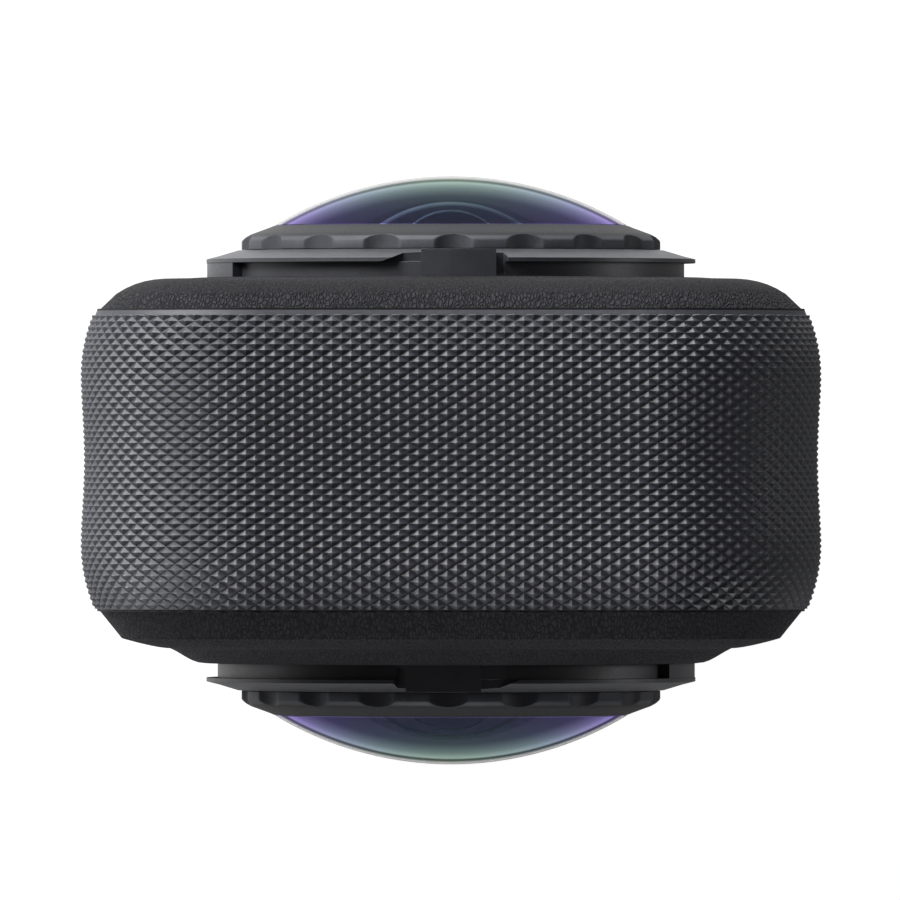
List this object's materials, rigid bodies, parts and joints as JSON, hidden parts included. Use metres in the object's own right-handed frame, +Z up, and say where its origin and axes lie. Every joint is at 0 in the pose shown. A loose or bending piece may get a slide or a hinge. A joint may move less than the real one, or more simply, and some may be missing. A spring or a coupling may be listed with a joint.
{
  "type": "360 degree camera",
  "caption": "Slim hand-held camera with opposed domed wide lenses in twist-off scalloped rings, a knurled grip band, touch display, push buttons, hinged port door and slide-out battery.",
  "frame": {"origin": "middle of the base plane, midway between the two lens domes", "axes": "+Z up along the body, -Y out of the display face, +X to the right when the display is seen"},
  "size_m": [0.0456, 0.0368, 0.1238],
  "materials": {
    "knurled_plastic": "diamond knurl, dark grey",
    "cover_plastic": "fine leather grain, charcoal",
    "lens_metal": "bead blasted, anodised dark grey",
    "coated_glass": "polished, green and violet anti-glare coating",
    "inner_glass": "polished, coated",
    "black_plastic": "satin black",
    "button_plastic": "satin black, soft edges",
    "screen_glass": "polished black glass",
    "screen_panel": "dark panel",
    "rubber": "matt black",
    "steel": "turned and stamped steel",
    "cast_aluminium": "die cast",
    "circuit_board": "green solder mask",
    "contact_brass": "gold plated",
    "battery_wrap": "dark film wrap",
    "card_plastic": "moulded black",
    "light_pipe": "frosted clear"
  },
  "bodies": {
    "camera_body": {"mid_frame": "knurled_plastic", "rear_cover": "cover_plastic", "front_cover": "cover_plastic", "rear_lens_collar": "lens_metal", "front_lens_collar": "lens_metal", "rear_inner_lens": "inner_glass", "front_inner_lens": "inner_glass", "rear_relay_lens": "inner_glass", "front_relay_lens": "inner_glass", "rear_lens_barrel": "black_plastic", "front_lens_barrel": "black_plastic", "rear_retaining_ring": "black_plastic", "front_retaining_ring": "black_plastic", "battery_bay": "black_plastic", "speaker": "black_plastic", "base_plate": "black_plastic", "display_glass": "screen_glass", "display_panel": "screen_panel", "rear_gasket": "rubber", "front_gasket": "rubber", "display_tape": "rubber", "tripod_insert": "steel", "base_screws": "steel", "carrier_screws": "steel", "board_screws": "steel", "port_door_pin": "steel", "charge_port": "steel", "card_holder": "steel", "processor_shield": "steel", "microphones": "steel", "lens_carrier": "cast_aluminium", "sensor_heat_sink": "cast_aluminium", "heat_spreader": "cast_aluminium", "rear_image_sensor": "circuit_board", "front_image_sensor": "circuit_board", "button_board": "circuit_board", "side_board": "circuit_board", "main_board": "circuit_board", "port_board": "circuit_board", "battery_contacts": "contact_brass", "memory_card": "card_plastic", "status_lights": "light_pipe"},
    "rear_lens": {"rear_lens_ring": "lens_metal", "rear_dome": "coated_glass", "rear_lens_seal": "rubber"},
    "front_lens": {"front_lens_ring": "lens_metal", "front_dome": "coated_glass", "front_lens_seal": "rubber"},
    "shutter_button": {"shutter_button": "button_plastic"},
    "lens_button": {"lens_button": "button_plastic"},
    "power_button": {"power_button": "button_plastic"},
    "mode_button": {"mode_button": "button_plastic"},
    "battery": {"battery_pack": "battery_wrap", "battery_cap": "knurled_plastic", "battery_seal": "rubber"},
    "upper_latch": {"upper_latch": "black_plastic"},
    "lower_latch": {"lower_latch": "black_plastic"},
    "port_door": {"port_door": "knurled_plastic", "port_door_seal": "rubber"}
  },
  "joints": [
    {"name": "rear_lens_twist", "type": "hinge", "parent": "camera_body", "child": "rear_lens", "pos_m": [0, 0.01205, 0.1005], "axis": [0, 1, 0], "range_deg": [0, 40]},
    {"name": "front_lens_twist", "type": "hinge", "parent": "camera_body", "child": "front_lens", "pos_m": [0, -0.01205, 0.1005], "axis": [0, -1, 0], "range_deg": [0, 40]},
    {"name": "shutter_press", "type": "slide", "parent": "camera_body", "child": "shutter_button", "axis": [0, 1, 0], "range_m": [0, 0.00035], "stiffness_N_per_m": 2000},
    {"name": "lens_button_press", "type": "slide", "parent": "camera_body", "child": "lens_button", "axis": [0, 1, 0], "range_m": [0, 0.00035], "stiffness_N_per_m": 2000},
    {"name": "power_press", "type": "slide", "parent": "camera_body", "child": "power_button", "axis": [-1, 0, 0], "range_m": [0, 0.00035], "stiffness_N_per_m": 2000},
    {"name": "mode_press", "type": "slide", "parent": "camera_body", "child": "mode_button", "axis": [-1, 0, 0], "range_m": [0, 0.00035], "stiffness_N_per_m": 2000},
    {"name": "battery_slide", "type": "slide", "parent": "camera_body", "child": "battery", "axis": [-1, 0, 0], "range_m": [0, 0.042]},
    {"name": "upper_latch_slide", "type": "slide", "parent": "battery", "child": "upper_latch", "axis": [0, 0, -1], "range_m": [0, 0.0022], "stiffness_N_per_m": 300},
    {"name": "lower_latch_slide", "type": "slide", "parent": "battery", "child": "lower_latch", "axis": [0, 0, 1], "range_m": [0, 0.0022], "stiffness_N_per_m": 300},
    {"name": "port_door_swing", "type": "hinge", "parent": "camera_body", "child": "port_door", "pos_m": [-0.022, 0.00395, 0.0785], "axis": [0, 0, -1], "range_deg": [0, 95]}
  ]
}
